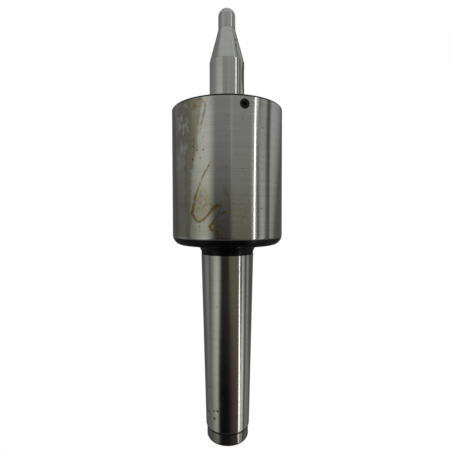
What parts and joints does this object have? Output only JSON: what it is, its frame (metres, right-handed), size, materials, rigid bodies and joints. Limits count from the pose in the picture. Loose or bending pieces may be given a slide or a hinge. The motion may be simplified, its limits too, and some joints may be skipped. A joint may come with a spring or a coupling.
{
  "type": "live center",
  "caption": "Live lathe center: ground cylindrical housing with integral Morse taper shank and a long rotating round-nosed point.",
  "frame": {"origin": "on the spindle axis at the gage plane of the Morse taper shank, 5 mm below the taper's large end", "axes": "+Z along the spindle axis from the shank towards the point; the cap lock screw is 15.8 degrees round from -Y towards +X"},
  "size_m": [0.05, 0.05, 0.1975],
  "materials": {
    "ground_steel": "ground and lightly stained",
    "point_steel": "hardened and finely ground",
    "black_oxide": "black oxide",
    "bearing_steel": "polished bearing steel",
    "cage_brass": "machined",
    "cage_steel": "pressed",
    "seal_rubber": "moulded",
    "soft_brass": "turned"
  },
  "bodies": {
    "housing": {"housing": "ground_steel", "front_cap": "black_oxide", "cap_lock_screw": "black_oxide", "lock_screw_pad": "soft_brass", "seal_case": "cage_steel", "seal_lip": "seal_rubber", "seal_garter_spring": "cage_steel", "cap_o_ring": "seal_rubber", "front_bearing_outer_ring": "bearing_steel", "second_bearing_outer_ring": "bearing_steel", "thrust_housing_washer": "bearing_steel", "preload_disc_spring": "cage_steel", "needle_cup": "bearing_steel", "needle_snap_ring": "black_oxide"},
    "spindle": {"spindle_point": "point_steel", "front_bearing_inner_ring": "bearing_steel", "second_bearing_inner_ring": "bearing_steel", "lock_washer": "cage_steel", "spindle_locknut": "black_oxide", "thrust_spacer": "bearing_steel", "thrust_shaft_washer": "bearing_steel"},
    "front_ball_set": {"front_bearing_cage": "cage_brass", "front_bearing_balls": "bearing_steel"},
    "second_ball_set": {"second_bearing_cage": "cage_brass", "second_bearing_balls": "bearing_steel"},
    "thrust_ball_set": {"thrust_cage": "cage_brass", "thrust_balls": "bearing_steel"},
    "needle_set": {"needle_cage": "cage_steel", "needle_rollers": "bearing_steel"}
  },
  "joints": [
    {"name": "spindle_spin", "type": "hinge", "parent": "housing", "child": "spindle", "pos_m": [0, 0, 0.0699], "axis": [0, 0, 1], "continuous": true},
    {"name": "front_ball_set_orbit", "type": "hinge", "parent": "housing", "child": "front_ball_set", "pos_m": [0, 0, 0.0547], "axis": [0, 0, 1], "continuous": true},
    {"name": "second_ball_set_orbit", "type": "hinge", "parent": "housing", "child": "second_ball_set", "pos_m": [0, 0, 0.0427], "axis": [0, 0, 1], "continuous": true},
    {"name": "thrust_ball_set_orbit", "type": "hinge", "parent": "housing", "child": "thrust_ball_set", "pos_m": [0, 0, 0.0242], "axis": [0, 0, 1], "continuous": true},
    {"name": "needle_set_orbit", "type": "hinge", "parent": "housing", "child": "needle_set", "pos_m": [0, 0, -0.002], "axis": [0, 0, 1], "continuous": true}
  ],
  "couplings": [
    {"joint": "front_ball_set_orbit", "follows": "spindle_spin", "ratio": 0.3951},
    {"joint": "second_ball_set_orbit", "follows": "spindle_spin", "ratio": 0.3951},
    {"joint": "thrust_ball_set_orbit", "follows": "spindle_spin", "ratio": 0.5},
    {"joint": "needle_set_orbit", "follows": "spindle_spin", "ratio": 0.4321}
  ]
}
